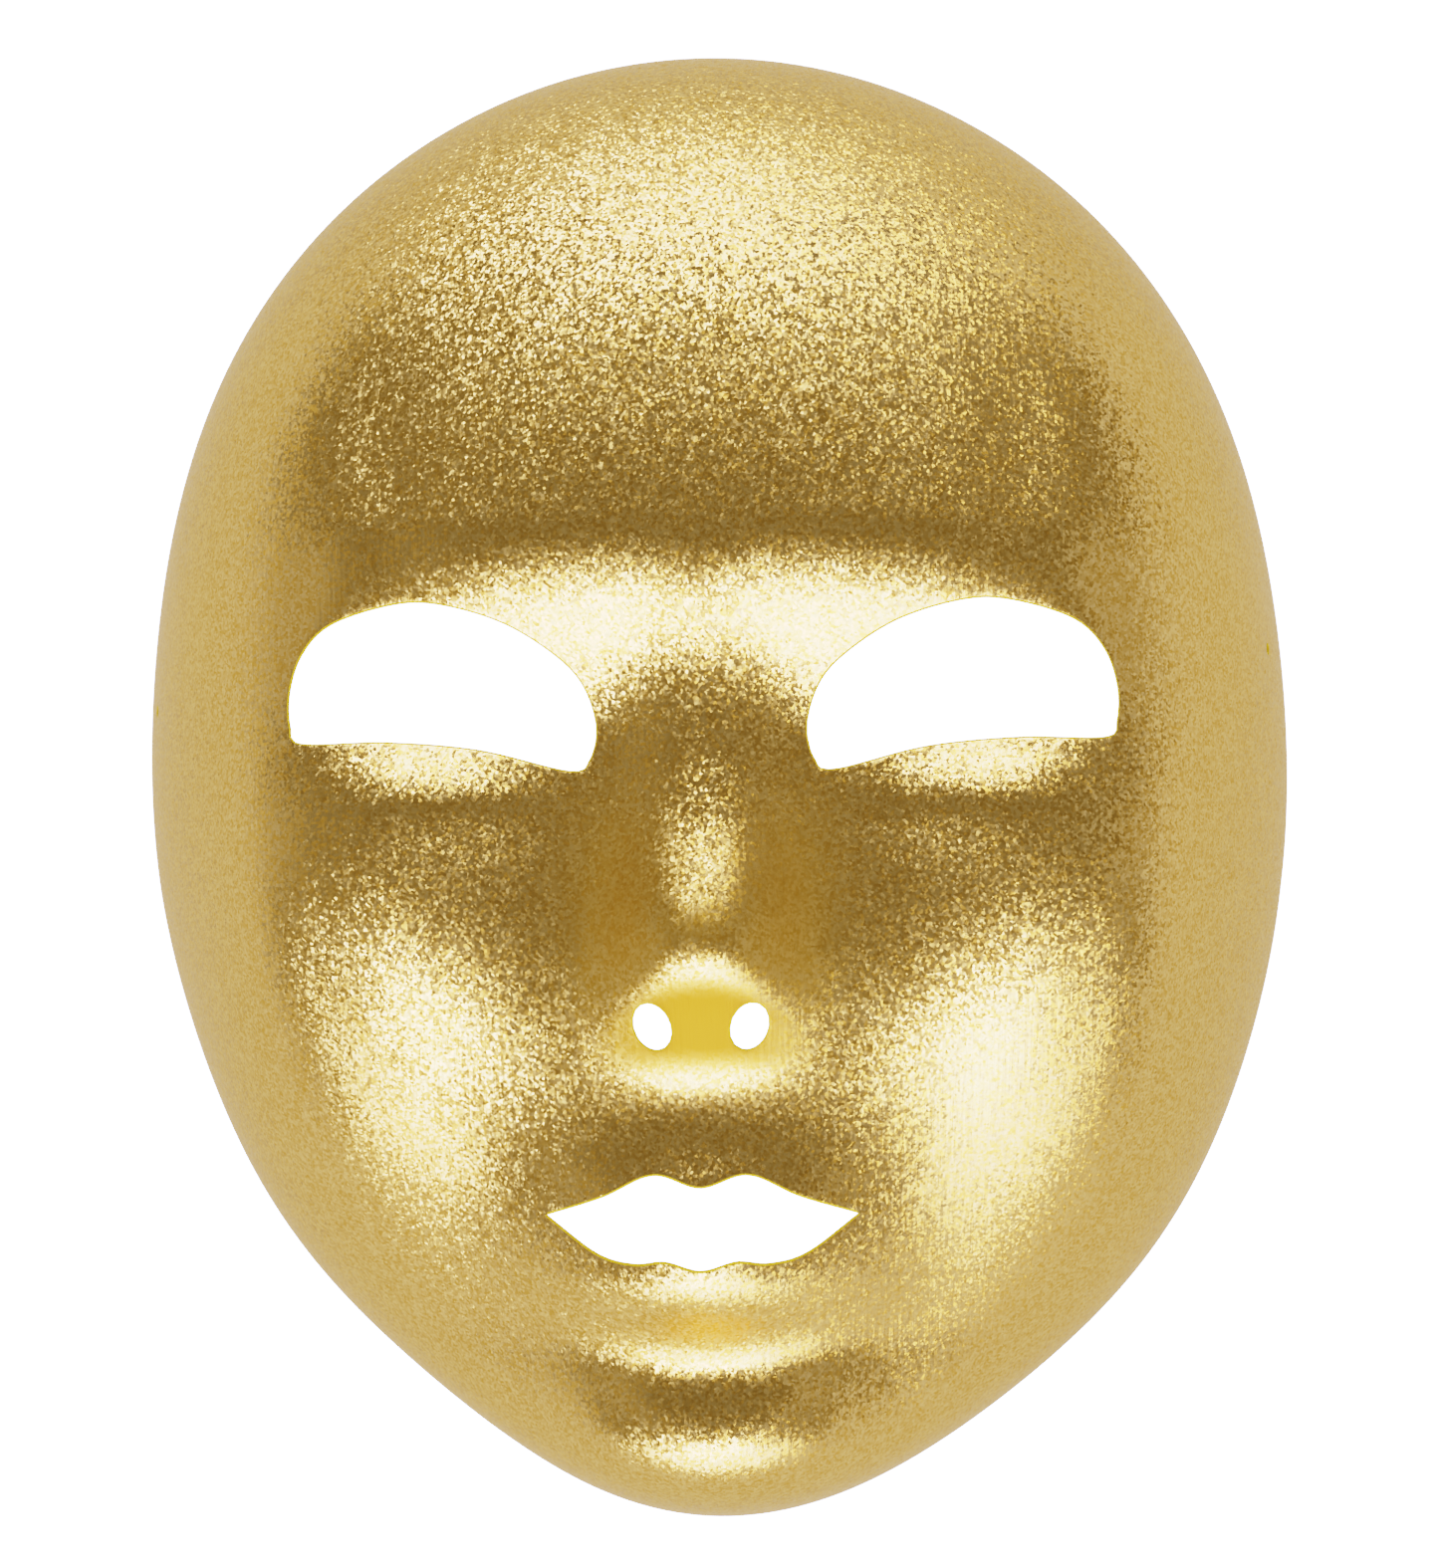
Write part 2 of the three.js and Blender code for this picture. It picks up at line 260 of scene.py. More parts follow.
@dataclass(frozen=True)
class FaceForm:
    """The outer surface of the mask, as the form that the cloth was pressed over.

    Spans run down the face, apart from those of the temples, the foot's bottom and the loose top.
    """

    rim: Rim = Rim()
    dome: Dome = Dome()
    nose: Nose = Nose()
    bumps: tuple[Bump, ...] = (
        Bump("muzzle", y=-62.0, rise=5.4, wide=21.8, tall=12.4),
        Bump("upper lip", y=-63.4, rise=2.3, wide=8.7, tall=3.4),
        Bump("lower lip", y=-73.8, rise=7.4, wide=16.8, tall=8.5),
        Bump("under the nose", y=-35.8, rise=1.2, wide=10.0, tall=6.9),
        Bump("fold", y=-79.4, rise=-3.4, wide=41.6, tall=7.2),
        Bump("chin", y=-108.6, rise=25.7, wide=30.7, tall=18.3),
        Bump("sides of the chin", x=26.0, y=-90.6, rise=-3.5, wide=7.8, tall=8.7),
        Bump("jaw", x=34.4, y=-72.7, rise=-5.8, wide=15.2, tall=17.9),
        Bump("cheeks", x=37.3, y=-38.8, rise=-1.6, wide=14.3, tall=15.0),
        Bump("cheekbones", x=66.4, y=-16.7, rise=5.6, wide=10.9, tall=26.0),
        Bump("under the eyes", x=33.0, y=-2.0, rise=1.0, wide=12.0, tall=7.0),
        Bump("temples", x=65.5, y=23.3, rise=-2.4, wide=14.7, tall=21.4),
        Bump("ends of the brow", x=45.1, y=41.6, rise=-0.9, wide=6.5, tall=17.9),
        Bump("forehead", y=62.1, rise=-0.5, wide=38.2, tall=13.4),
        Bump("sides of the forehead", x=43.1, y=55.0, rise=-3.6, wide=23.2, tall=52.6),
    )
    brow_y: float = 37.5
    brow_dip: float = 1.7
    brow_dip_half: float = 6.0
    brow_depth: float = 11.7
    brow_lead: float = 1.0
    brow_run: float = 34.0
    socket: float = 5.4
    cheek_fall: float = 10.6
    cheek_span: Pair = (-2.0, 74.0)
    cheek_inner: float = 12.0
    cheek_inner_gain: float = 3.0
    cheek_inner_span: Pair = (50.0, 80.0)
    cheek_outer: float = 54.0
    cheek_outer_loss: float = 8.0
    cheek_loss_span: Pair = (32.0, 56.0)
    cheek_outer_gain: float = 6.0
    cheek_gain_span: Pair = (60.0, 84.0)
    cheek_top: float = 14.5
    cheek_top_run: float = 18.0
    temple_span: Pair = (38.0, 62.0)
    philtrum_fall: float = 2.1
    philtrum_span: Pair = (30.0, 56.0)
    chin_fall: float = 2.2
    chin_span: Pair = (62.0, 86.0)
    lean: float = 0.05
    drift: float = -0.9
    drift_span: Pair = (0.0, 60.0)
    foot_half: float = 14.0
    foot_bend: float = 0.03
    foot_top: Pair = (25.5, 29.5)
    foot_bottom: Pair = (-42.0, -37.0)
    # Where the cloth lies tight. The same shares paint a yellow reflection and shade into the cloth's
    # colour.
    tight_glow_and_shade_zones: tuple[Bump, ...] = (
        Bump("sides of the nose", x=12.0, y=-17.0, rise=0.5, wide=8.0, tall=17.0),
        Bump("tip of the nose", y=-19.5, rise=0.4, wide=11.0, tall=4.0),
    )
    tight_glow_and_shade_lip: Bump = Bump("under the lower lip", y=-77.0, rise=0.4, wide=9.0, tall=3.0)
    loose_level: float = 1.08
    loose_top: float = 1.3
    loose_top_span: Pair = (58.0, 84.0)
    loose_chin: float = -0.3
    loose_chin_span: Pair = (60.0, 80.0)
    loose_zones: tuple[Bump, ...] = (
        Bump("ridge of the nose", y=2.0, rise=0.8, wide=4.0, tall=7.0),
        Bump("ridge lower down", y=-12.0, rise=-0.2, wide=8.0, tall=8.0),
        Bump("forehead, all across", y=68.0, rise=-0.2, wide=np.inf, tall=14.0),
        Bump("bridge, all across", y=25.0, rise=-0.55, wide=np.inf, tall=9.0),
        Bump("cheeks", x=38.0, y=-38.0, rise=-0.5, wide=22.0, tall=22.0),
        Bump("under the nose", y=-42.5, rise=-0.7, wide=15.0, tall=5.0),
    )
    probe: float = 0.001
    pole_gap: float = 0.004

    def drift_at(self, y: Array) -> Array:
        """How far the middle of the face has wandered to the side at this height of the face."""
        return self.drift * ramp(-y, *self.drift_span)

    def relief(self, x: Array, y: Array) -> Array:
        """How far the face rises above the bare dome: middle and cheeks blended, and the features added.

        Args:
            x: the points' places across the face.
            y: the points' places up the face.

        Returns:
            The height over the dome at each point.
        """
        below_brow = self.brow_y - self.brow_dip * bell(x, self.brow_dip_half) - y
        socket = ramp(below_brow, -self.brow_lead, self.brow_run - self.brow_lead)
        middle = -self.brow_depth * socket - self.philtrum_fall * ramp(-y, *self.philtrum_span)
        side = -self.socket * socket - self.cheek_fall * ramp(-y, *self.cheek_span)
        inner = self.cheek_inner + self.cheek_inner_gain * ramp(-y, *self.cheek_inner_span)
        outer = self.cheek_outer - self.cheek_outer_loss * ramp(-y, *self.cheek_loss_span)
        outer = outer + self.cheek_outer_gain * ramp(-y, *self.cheek_gain_span)
        cheek = ramp((np.abs(x) - inner) / (outer - inner), 0.0, 1.0)
        cheek = cheek * ramp(self.cheek_top - y, 0.0, self.cheek_top_run)
        aside = 1.0 - (1.0 - ramp(np.abs(x), *self.temple_span)) * (1.0 - cheek)
        total = mix(middle, side, aside) - self.chin_fall * ramp(-y, *self.chin_span) + self.nose.rise(x, y)
        for bump in self.bumps:
            total = total + bump.at(x, y)
        return total - self.lean * y

    def tight_glow_and_shade_share(self, xy: Array) -> Array:
        """How tight the cloth was drawn, from 0 to 1: most at the foot of the nose, less down its sides.

        The foot's share is exp(-(x / half)^4) between a bent line above and a straight one below. By the
        same share, the cloth's colour takes a painted yellow reflection and painted shade.

        Args:
            xy: the points, one row each.

        Returns:
            The tightness at each point.
        """
        x, y = xy[:, 0] - self.drift_at(xy[:, 1]), xy[:, 1]
        foot = np.exp(-((x / self.foot_half) ** 4)) * ramp(-y - self.foot_bend * x**2, *self.foot_top)
        foot = foot * ramp(y, *self.foot_bottom)
        tightest = np.maximum.reduce([foot, *(zone.at(x, y) for zone in self.tight_glow_and_shade_zones)])
        return np.clip(tightest + self.tight_glow_and_shade_lip.at(x, y), 0.0, 1.0)

    def looseness(self, xy: Array) -> Array:
        """How uneven the stitches lie: about 1 on most of the face, more at its top, less where stretched.

        Args:
            xy: the points, one row each.

        Returns:
            The looseness at each point, never under zero.
        """
        x, y = xy[:, 0] - self.drift_at(xy[:, 1]), xy[:, 1]
        total = self.loose_level + self.loose_top * ramp(y, *self.loose_top_span)
        total = total + self.loose_chin * ramp(-y, *self.loose_chin_span)
        return np.maximum(0.0, total + sum(zone.at(x, y) for zone in self.loose_zones))

    def height(self, x: Array, y: Array) -> Array:
        """Height of the outer surface above the rim's plane."""
        return (self.dome.crown + self.relief(x - self.drift_at(y), y)) * self.dome.share(self.rim, x, y)

    def point(self, angle: Array, share: Array) -> Array:
        """The outer surface at an angle and a share of the way from the pole to the rim, in millimetres.

        Args:
            angle: the points' directions from the pole.
            share: how far out each point lies, 0 at the pole and 1 at the rim.

        Returns:
            The points, one row each.
        """
        radius = share * self.rim.radius(angle)
        x = radius * np.cos(angle)
        y = self.rim.pole_y + radius * np.sin(angle)
        return np.stack([x, y, np.where(share >= 1.0, 0.0, self.height(x, y))], axis=-1)

    def normal(self, angle: Array, share: Array) -> Array:
        """The way that the outer surface faces: at right angles to two short steps on it.

        At the rim the wall is upright. One of the steps vanishes at the pole, which therefore takes the
        normal of a place just beside it.

        Args:
            angle: the points' directions from the pole.
            share: how far out each point lies.

        Returns:
            The normals, one row each.
        """
        share = np.maximum(self.pole_gap, share)
        step = self.probe
        along = self.point(angle, np.minimum(1.0, share + step)) - self.point(angle, share - step)
        around = self.point(angle + step, share) - self.point(angle - step, share)
        normal = np.cross(along, around)
        normal[..., 2] = np.where(share >= 1.0, 0.0, normal[..., 2])
        return normal / np.linalg.norm(normal, axis=-1, keepdims=True)

    def place(self, xy: Array) -> tuple[Array, Array]:
        """The angle and share of points given by x and y."""
        angle = np.arctan2(xy[:, 1] - self.rim.pole_y, xy[:, 0])
        return angle, np.hypot(xy[:, 0], xy[:, 1] - self.rim.pole_y) / self.rim.radius(angle)


@dataclass(frozen=True)
class Opening:
    """A hole with a smooth outline, and the corners of it that stay sharp."""

    name: str
    outline: Array
    corners: tuple[tuple[float, float], ...] = ()
    edge_round: float = 0.22

    def beside(self, xy: Array, margin: float) -> Array:
        """The numbers of the points that lie in the outline's box, with a margin round it."""
        low, high = self.outline.min(axis=0) - margin, self.outline.max(axis=0) + margin
        return np.flatnonzero(((xy > low) & (xy < high)).all(axis=1))

    def distance(self, xy: Array) -> tuple[Array, Array]:
        """Distance of points from the outline, less than zero inside it, and the nearest outline points.

        Args:
            xy: the points, one row each.

        Returns:
            The signed distances and, one row each, the nearest points.
        """
        start = self.outline
        run = np.roll(start, -1, axis=0) - start
        away = xy[:, None, :] - start[None]
        t = np.clip((away * run).sum(-1) / (run * run).sum(-1), 0.0, 1.0)
        near = start[None] + t[..., None] * run[None]
        gap = np.linalg.norm(xy[:, None, :] - near, axis=-1)
        best = gap.argmin(axis=1)
        rows = np.arange(len(xy))
        end_y = start[:, 1] + run[:, 1]
        spans = (start[None, :, 1] > xy[:, None, 1]) != (end_y[None] > xy[:, None, 1])
        safe = np.where(run[:, 1] == 0.0, 1.0, run[:, 1])
        crossing = start[None, :, 0] + (xy[:, None, 1] - start[None, :, 1]) * run[None, :, 0] / safe
        inside = (spans & (xy[:, None, 0] < crossing)).sum(axis=1) % 2 == 1
        return np.where(inside, -1.0, 1.0) * gap[rows, best], near[rows, best]


@dataclass(frozen=True)
class PunchedHole:
    """A small round hole through the side wall."""

    side: int
    y: float
    z: float
    width: float = 1.5


class Layer(Enum):
    """The finishes of the shell, in the order of its material slots."""

    LAME = 0
    CUT = 1
    BACKING = 2


@dataclass(frozen=True)
class FaceOpenings:
    """The openings that a die cuts into the face: two eyes, a mouth and two nostrils."""

    form: FaceForm
    eye_half: tuple[Pair, ...] = (
        (14.8, 8.8), (16.6, 14.6), (20.5, 18.9), (27.8, 23.5), (36.7, 26.2),
        (43.5, 26.3), (52.6, 23.6), (57.0, 19.4), (58.9, 14.0), (58.8, 9.0),
        (57.1, 6.7), (44.8, 6.8), (31.6, 5.6), (18.7, 2.5), (15.8, 4.0),
    )
    eye_shift: float = 0.5
    eye_pieces: int = 12
    mouth_y: float = -61.0
    mouth_half: float = 22.3
    mouth_above: tuple[Pair, ...] = ((0.0, 4.0), (6.8, 5.8), (14.0, 2.7))
    mouth_below: tuple[Pair, ...] = ((0.0, -7.6), (5.1, -6.3), (9.6, -6.7), (15.0, -5.3))
    mouth_pieces: int = 14
    mouth_round: float = 0.3
    nostril_x: float = 6.9
    nostril_y: float = -33.9
    nostril_half_wide: float = 2.6
    nostril_half_tall: float = 3.45
    nostril_slant: float = 24.0
    nostril_pieces: int = 40

    def eye(self, side: int) -> Opening:
        """The eye opening on one side: an almond with a flat lower lid, a little further out on -X.

        Args:
            side: 1 on +X, -1 on -X.

        Returns:
            The opening.
        """
        shift = self.eye_shift if side < 0 else 0.0
        points = (np.array(self.eye_half) + (shift, 0.0)) * (side, 1.0)
        return Opening(f"eye {side:+d}", smooth_closed(points, self.eye_pieces))

    def mouth(self) -> Opening:
        """The mouth: two peaks above, a soft wave below and a sharp corner at each end.

        Returns:
            The opening, with its two corners.
        """
        middle = np.array([self.form.drift, self.mouth_y])
        end = (self.mouth_half, 0.0)
        mirror = (-1.0, 1.0)
        above = np.array([*self.mouth_above, end])
        below = np.array([*self.mouth_below, end])
        upper = np.vstack([above[:0:-1] * mirror, above]) + middle
        lower = np.vstack([below[::-1], below[1:] * mirror]) + middle
        line = np.vstack([smooth_open(half, self.mouth_pieces) for half in (upper, lower)])
        corners = tuple((middle[0] + x, middle[1]) for x in (-self.mouth_half, self.mouth_half))
        return Opening("mouth", line, corners, self.mouth_round)

    def nostril(self, side: int) -> Opening:
        """The nostril on one side: an oval whose upper end leans outwards.

        Args:
            side: 1 on +X, -1 on -X.

        Returns:
            The opening.
        """
        turn = np.linspace(0.0, 2.0 * np.pi, self.nostril_pieces, endpoint=False)
        x = side * self.nostril_x + float(self.form.drift_at(np.array(self.nostril_y)))
        across = self.nostril_half_wide * np.cos(turn)
        along = self.nostril_half_tall * np.sin(turn)
        slant = np.radians(self.nostril_slant) * side
        outline_x = x + across * np.cos(slant) + along * np.sin(slant)
        outline_y = self.nostril_y + along * np.cos(slant) - across * np.sin(slant)
        return Opening(f"nostril {side:+d}", np.stack([outline_x, outline_y], axis=-1))

    def all(self) -> list[Opening]:
        """Every opening with a smooth outline."""
        return [self.eye(1), self.eye(-1), self.mouth(), self.nostril(1), self.nostril(-1)]


@dataclass
class MaskShell:
    """The whole mask, one thin wall with its openings, rounded cut edges, outer cloth and inner backing."""

    form: FaceForm = field(default_factory=FaceForm)
    wall: float = 1.2
    hole_round: float = 0.15
    upright_reach: float = 4.0
    least_facing: float = 0.2
    tip_run: float = 0.9
    search_margin: float = 3.0
    round_steps: int = 3
    sharp_degrees: float = 50.0
    spokes: int = 360
    rings: int = 130
    ring_spread: float = 0.9
    punch_spokes: int = 2
    punch_rings: int = 3
    unroll_steps: int = 240
    unroll_spokes: int = 180
    unroll_spread: float = 0.8
    holes: tuple[PunchedHole, ...] = (PunchedHole(-1, 12.5, 13.0), PunchedHole(1, 20.5, 15.0))

    def grid(self) -> tuple[Array, Array]:
        """The grid's points ring by ring, the pole left out, with the rings closer near the rim.

        Returns:
            The points' angles and shares.
        """
        step = np.arange(1, self.rings + 1) / self.rings
        shares = np.sin(step * np.pi / 2.0) ** self.ring_spread
        angles = np.linspace(0.0, 2.0 * np.pi, self.spokes, endpoint=False)
        share, angle = np.meshgrid(shares, angles, indexing="ij")
        return angle.ravel(), share.ravel()

    def grid_faces(self) -> Array:
        """The grid's four-sided faces.

        Returns:
            Rows of point numbers, anticlockwise as seen from outside.
        """
        number = np.arange(self.rings * self.spokes).reshape(self.rings, self.spokes)
        after = np.roll(number, -1, axis=1)
        return np.stack([number[:-1], number[1:], after[1:], after[:-1]], axis=-1).reshape(-1, 4)

    def openings(self) -> list[Opening]:
        """Every opening with a smooth outline."""
        return FaceOpenings(self.form).all()

    def snap(self, angle: Array, share: Array, quads: Array) -> tuple[Array, Array, Array]:
        """Moves grid points that lie next to an outline onto it.

        Args:
            angle: the points' angles, changed in place.
            share: the points' shares, changed in place.
            quads: the grid's faces.

        Returns:
            angle, share, and each point's state: 1 outside the openings, 0 on an outline, -1 inside.
        """
        xy = self.form.point(angle, share)[:, :2]
        state = np.ones(len(angle), int)
        edges = np.vstack([quads[:, [0, 1]], quads[:, [0, 3]]])
        for opening in self.openings():
            near = opening.beside(xy, self.search_margin)
            gap = np.full(len(xy), FAR)
            target = xy.copy()
            tips, insides = [], []
            for corner in opening.corners:
                inward = opening.outline.mean(axis=0) - corner
                behind = corner + self.tip_run * inward / np.linalg.norm(inward)
                for spot, kept in ((np.array(corner), tips), (behind, insides)):
                    nearest = near[np.linalg.norm(xy[near] - spot, axis=1).argmin()]
                    xy[nearest] = spot
                    kept.append(nearest)
            gap[near], target[near] = opening.distance(xy[near])
            gap[tips], gap[insides] = 0.0, -self.tip_run
            state[gap < 0.0] = -1
            state[tips] = 0
            crossing = edges[gap[edges[:, 0]] * gap[edges[:, 1]] < 0.0]
            closer = np.abs(gap[crossing]).argmin(axis=1)
            snapped = np.unique(crossing[np.arange(len(crossing)), closer])
            xy[snapped] = target[snapped]
            state[snapped] = 0
        moved = state == 0
        angle[moved], share[moved] = self.form.place(xy[moved])
        return angle, share, state

    def middles(self, angle: Array, share: Array, faces: Array) -> Array:
        """The x and y of the faces' middles, one row each."""
        return self.form.point(angle[faces].mean(axis=1), share[faces].mean(axis=1))[:, :2]

    def outer_faces(
        self, angle: Array, share: Array, quads: Array, state: Array
    ) -> tuple[Array, Array]:
        """Faces left after the openings are cut: four-sided and three-sided.

        A face keeps its points that are outside or on an outline. One that has none outside stays only if
        its middle is outside every opening. One that has a single point outside loses the half beyond the
        outline, if that half's middle is inside an opening.

        Args:
            angle: the points' angles.
            share: the points' shares.
            quads: the grid's faces.
            state: each point's state, as snap gives it.

        Returns:
            The four-sided faces and the three-sided ones.
        """
        kept = state[quads] >= 0
        outside = (state[quads] > 0).any(axis=1)
        centre = self.middles(angle, share, quads)
        doubtful = np.flatnonzero(~outside & kept.all(axis=1))
        for opening in self.openings():
            if len(doubtful):
                gap, _ = opening.distance(centre[doubtful])
                doubtful = doubtful[gap > 0.0]
        whole = outside & kept.all(axis=1)
        whole[doubtful] = True
        lone = np.flatnonzero(whole & ((state[quads] == 0).sum(axis=1) == 3))
        start = (state[quads[lone]] > 0).argmax(axis=1)
        turned = np.take_along_axis(quads[lone], (start[:, None] + np.arange(4)) % 4, axis=1)
        far = self.middles(angle, share, turned[:, 1:])
        inside = np.zeros(len(lone), bool)
        for opening in self.openings():
            inside |= opening.distance(far)[0] < 0.0
        whole[lone[inside]] = False
        cut = outside & (kept.sum(axis=1) == 3)
        order = np.argmin(kept[cut], axis=1)
        three = np.take_along_axis(quads[cut], (order[:, None] + np.arange(1, 4)) % 4, axis=1)
        return quads[whole], np.vstack([three, turned[inside][:, [0, 1, 3]]])

    def punch(self, angle: Array, share: Array, quads: Array, count: int) -> tuple[Array, Array, Array]:
        """Cuts the small round holes: a block of faces gives way to a ring of faces round each circle.

        Args:
            angle: the points' angles.
            share: the points' shares.
            quads: the grid's faces, as point numbers.
            count: how many points the grid has.

        Returns:
            angle and share with the circles' points added, and the faces.
        """
        across = np.arange(-self.punch_spokes, self.punch_spokes + 1)
        down = np.arange(-self.punch_rings, self.punch_rings + 1)
        for hole in self.holes:
            grid = self.form.point(angle[:count], share[:count])
            spot = (hole.side * self.form.rim.radius(0.0), hole.y, hole.z)
            start = int(np.linalg.norm(grid - spot, axis=1).argmin())
            ring, spoke = divmod(start, self.spokes)
            # Once round the block, clockwise as seen from outside.
            path = [(-self.punch_rings, k) for k in across[:-1]]
            path += [(k, self.punch_spokes) for k in down[:-1]]
            path += [(self.punch_rings, k) for k in across[:0:-1]]
            path += [(k, -self.punch_spokes) for k in down[:0:-1]]
            path = np.array(path)
            loop = (ring + path[:, 0]) * self.spokes + (spoke + path[:, 1]) % self.spokes
            block = (ring + down[:-1])[:, None] * self.spokes + (spoke + across[:-1])[None] % self.spokes
            quads = quads[~np.isin(quads[:, 0], block.ravel())]
            middle_angle, middle_share = angle[start], share[start]
            centre = self.form.point(middle_angle, middle_share)
            near = self.form.probe
            by_angle = (self.form.point(middle_angle + near, middle_share) - centre) / near
            by_share = (self.form.point(middle_angle, middle_share + near) - centre) / near
            basis = np.stack([by_angle, by_share], axis=1)
            away = self.form.point(angle[loop], share[loop]) - centre
            circle = away / np.linalg.norm(away, axis=1, keepdims=True) * hole.width / 2.0
            step = circle @ np.linalg.pinv(basis).T
            ring_points = len(angle) + np.arange(len(loop))
            angle = np.concatenate([angle, middle_angle + step[:, 0]])
            share = np.concatenate([share, middle_share + step[:, 1]])
            after = np.roll(np.arange(len(loop)), -1)
            around = np.stack([loop[after], loop, ring_points, ring_points[after]], axis=-1)
            quads = np.vstack([quads, around])
        return angle, share, quads

    def middle(self) -> Array:
        """The middle of the rim's box, where the origin goes.

        Returns:
            Its x and y, in the millimetres that the face form is drawn in.
        """
        angle, share = self.grid()
        rim = self.form.point(angle[-self.spokes :], share[-self.spokes :])[:, :2]
        return (rim.max(axis=0) + rim.min(axis=0)) / 2.0

    @staticmethod
    def border(faces: list[Array]) -> Array:
        """The edges that only one face has.

        Args:
            faces: groups of faces, each an array of point numbers.

        Returns:
            Rows of two point numbers, in the direction that their face has them.
        """
        edges = np.vstack([np.stack([f, np.roll(f, -1, axis=1)], axis=-1).reshape(-1, 2) for f in faces])
        key = np.sort(edges, axis=1)
        _, inverse, counts = np.unique(key, axis=0, return_inverse=True, return_counts=True)
        return edges[counts[inverse.ravel()] == 1]

    def build(self) -> bpy.types.Object:
        """Works out the shell and puts it into a mesh.

        Returns:
            The object, at the origin, with its place in its mesh.
        """
        angle, share = self.grid()
        quads = self.grid_faces()
        count = len(angle)
        angle, share, state = self.snap(angle, share, quads)
        angle, share, quads = self.punch(angle, share, quads, count)
        state = np.concatenate([state, np.ones(len(angle) - count, int)])
        quads, tris = self.outer_faces(angle, share, quads, state)
        pole = len(angle)
        angle = np.append(angle, 0.0)
        share = np.append(share, 0.0)
        first = np.arange(self.spokes)
        tris = np.vstack([tris, np.stack([np.full(self.spokes, pole), first, np.roll(first, -1)], axis=-1)])
        outer = self.form.point(angle, share)
        normal = self.form.normal(angle, share)
        unrolled = self.unroll(angle, share)
        upright, reach = self.cut_shape(outer, count)
        straight = np.array([0.0, 0.0, 1.0]) / np.maximum(normal[:, 2:], self.least_facing)
        inner = outer - self.wall * mix(normal, straight, upright[:, None])
        base = len(outer)
        edge = self.border([quads, tris])
        at_rim = (share[edge] >= 1.0).all(axis=1)
        end, start = edge[at_rim].T[::-1]
        rim_faces = np.stack([end, start, start + base, end + base], axis=-1)
        outer, rows, owners, edge_faces = self.edge_rows(outer, inner, normal, reach, edge[~at_rim])
        points = np.vstack([outer, inner, rows])
        points[:, :2] -= self.middle()
        faces = [quads, tris, quads[:, ::-1] + base, tris[:, ::-1] + base, edge_faces, rim_faces]
        finish = [Layer.LAME, Layer.LAME, Layer.BACKING, Layer.BACKING, Layer.CUT, Layer.CUT]
        uv = np.vstack([unrolled, unrolled, unrolled[owners]])
        return self.to_object(points, faces, finish, uv)

    def cut_shape(self, outer: Array, count: int) -> tuple[Array, Array]:
        """How the openings are cut: straight down with a die, and the small round holes square to the wall.

        Args:
            outer: the outer surface's points.
            count: how many of them belong to the grid. The rest lie round the small holes.

        Returns:
            How far each inner point lies straight under its outer one, from 0 to 1 at an outline, and the
            radius that a cut edge has at each point.
        """
        upright = np.zeros(len(outer))
        reach = np.where(np.arange(len(outer)) >= count, self.hole_round, 0.0)
        for opening in self.openings():
            near = opening.beside(outer[:, :2], self.upright_reach)
            gap, _ = opening.distance(outer[near, :2])
            upright[near] = np.maximum(upright[near], 1.0 - ramp(np.abs(gap), 0.0, self.upright_reach))
            reach[near[np.abs(gap) < ON_LINE]] = opening.edge_round
        return upright, reach

    def unroll(self, angle: Array, share: Array) -> Array:
        """Millimetres along the cloth from the pole: the arc to each point, laid out flat by its angle.

        Args:
            angle: the points' angles.
            share: the points' shares.

        Returns:
            The points' places on the flat cloth, one row each.
        """
        steps = np.linspace(0.0, 1.0, self.unroll_steps + 1)
        spokes = np.linspace(0.0, 2.0 * np.pi, self.unroll_spokes + 1)
        ring, spoke = np.meshgrid(steps, spokes, indexing="ij")
        grid = self.form.point(spoke, ring**self.unroll_spread)
        runs = np.linalg.norm(np.diff(grid, axis=0), axis=-1)
        arc = np.vstack([np.zeros(len(spokes)), runs.cumsum(axis=0)])
        turn = np.mod(angle, 2.0 * np.pi) / (2.0 * np.pi) * (len(spokes) - 1)
        out = np.clip(share, 0.0, 1.0) ** (1.0 / self.unroll_spread) * (len(steps) - 1)
        i, j = np.minimum(out.astype(int), len(steps) - 2), np.minimum(turn.astype(int), len(spokes) - 2)
        u, v = out - i, turn - j
        length = mix(mix(arc[i, j], arc[i + 1, j], u), mix(arc[i, j + 1], arc[i + 1, j + 1], u), v)
        return np.stack([length * np.cos(angle), length * np.sin(angle)], axis=-1)

